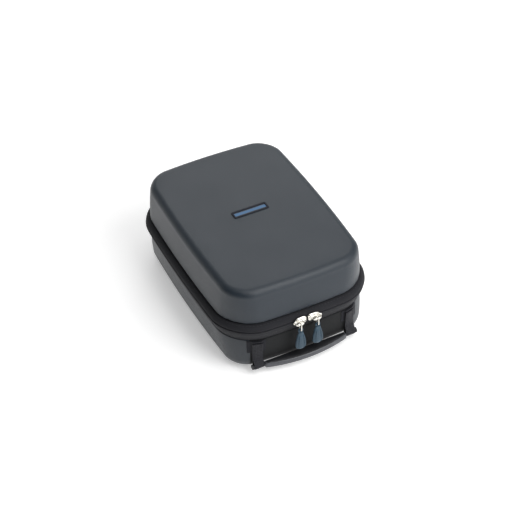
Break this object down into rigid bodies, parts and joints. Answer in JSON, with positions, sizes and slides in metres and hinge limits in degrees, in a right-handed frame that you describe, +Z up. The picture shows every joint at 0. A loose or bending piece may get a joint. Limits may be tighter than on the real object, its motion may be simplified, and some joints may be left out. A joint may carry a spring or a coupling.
{
  "type": "launch monitor carry case",
  "caption": "Moulded zip-round carry case that holds a golf launch monitor in cut foam, with a hinged lid, paired zip pulls and a webbing-hung handle.",
  "frame": {"origin": "middle of the flat bottom of the base, on the surface it stands on", "axes": "+X across the case to the right, -Y towards the handle and the zip pulls, +Z up through the lid"},
  "size_m": [0.1674, 0.2392, 0.1001],
  "materials": {
    "shell": "matt slate-grey laminated cloth over moulded foam",
    "lining": "black brushed knit",
    "zip_tape": "black woven tape",
    "zip_coil": "black nylon",
    "foam": "charcoal foam",
    "bright_metal": "polished plated zinc",
    "pull_rubber": "matt blue-grey",
    "handle_rubber": "satin grey",
    "webbing": "black ribbed webbing",
    "net": "black mesh",
    "badge_rim": "satin navy",
    "badge_face": "satin blue stripe"
  },
  "bodies": {
    "base": {"base_shell": "shell", "base_lining": "lining", "foam_insert": "foam", "base_rim_binding": "webbing", "zip_tape_lower": "zip_tape", "zip_coil_lower": "zip_coil", "hinge_strip_lower": "zip_tape", "handle_patch_left": "webbing", "handle_patch_right": "webbing", "handle_webbing_left": "webbing", "handle_webbing_right": "webbing"},
    "lid": {"lid_shell": "shell", "lid_lining": "lining", "lid_pad": "foam", "lid_rim_binding": "webbing", "zip_tape_upper": "zip_tape", "zip_coil_upper": "zip_coil", "hinge_strip_upper": "zip_tape", "net_pocket": "net", "net_pocket_hem": "webbing", "badge_frame": "badge_rim", "badge_insert": "badge_face"},
    "slider_left": {"slider_body_left": "bright_metal", "slider_back_left": "bright_metal"},
    "slider_right": {"slider_body_right": "bright_metal", "slider_back_right": "bright_metal"},
    "pull_left": {"pull_link_left": "bright_metal", "pull_grip_left": "pull_rubber"},
    "pull_right": {"pull_link_right": "bright_metal", "pull_grip_right": "pull_rubber"},
    "handle": {"handle_core": "handle_rubber", "handle_pad": "webbing"}
  },
  "joints": [
    {"name": "lid_hinge", "type": "hinge", "parent": "base", "child": "lid", "pos_m": [0, 0.1161, 0.0546], "axis": [-1, 0, 0], "range_deg": [0, 180]},
    {"name": "slider_left_travel", "type": "slide", "parent": "base", "child": "slider_left", "axis": [-1, 0, 0], "range_m": [0, 0.018]},
    {"name": "slider_right_travel", "type": "slide", "parent": "base", "child": "slider_right", "axis": [1, 0, 0], "range_m": [0, 0.018]},
    {"name": "pull_left_swing", "type": "hinge", "parent": "slider_left", "child": "pull_left", "pos_m": [-0.0092, -0.1208, 0.0532], "axis": [-1, 0, 0], "range_deg": [0, 150]},
    {"name": "pull_right_swing", "type": "hinge", "parent": "slider_right", "child": "pull_right", "pos_m": [0.0092, -0.1208, 0.0532], "axis": [-1, 0, 0], "range_deg": [0, 150]},
    {"name": "handle_swing", "type": "hinge", "parent": "base", "child": "handle", "pos_m": [0, -0.1108, 0.0095], "axis": [-1, 0, 0], "range_deg": [0, 45]}
  ]
}
